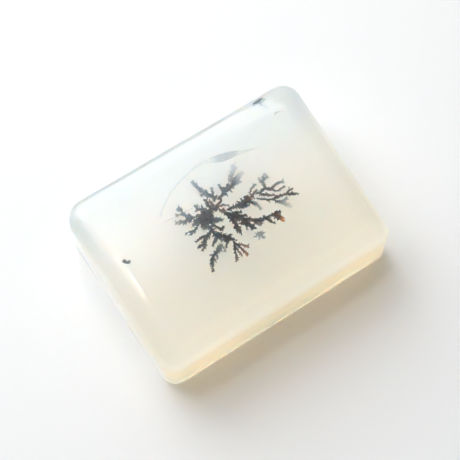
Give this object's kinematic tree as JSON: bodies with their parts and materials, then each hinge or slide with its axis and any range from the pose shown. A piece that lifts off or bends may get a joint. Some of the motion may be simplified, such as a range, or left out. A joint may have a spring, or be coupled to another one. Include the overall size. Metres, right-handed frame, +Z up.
{
  "type": "dendritic agate tablet",
  "caption": "Polished rectangular tablet of milky translucent agate with rounded upper edges and a dark branching growth sealed under its flat top.",
  "frame": {"origin": "under the middle of the tablet, on the flat base it rests on", "axes": "+Z up out of the flat top, +X along the long side, +Y along the short side towards the back"},
  "size_m": [0.0242, 0.0178, 0.0065],
  "materials": {
    "agate": "polished, milky and translucent, IOR about 1.54",
    "black_growth": "matt black-brown",
    "brown_growth": "matt red-brown",
    "hazy_growth": "slate grey, seen through milky stone"
  },
  "bodies": {
    "root": {"agate_upper": "agate", "agate_lower": "agate", "dendrite_heart": "black_growth", "dendrite_north_limb": "hazy_growth", "dendrite_northeast_limb": "hazy_growth", "dendrite_west_limb": "hazy_growth", "dendrite_southwest_limb": "black_growth", "dendrite_south_trunk": "black_growth", "dendrite_south_fern": "hazy_growth", "dendrite_brown_fan": "brown_growth", "dendrite_east_heart": "black_growth", "dendrite_east_limb": "black_growth", "dendrite_far_east_limb": "brown_growth", "dendrite_southeast_limb": "black_growth", "dendrite_lone_tuft": "hazy_growth", "dark_grain": "black_growth"}
  },
  "joints": []
}
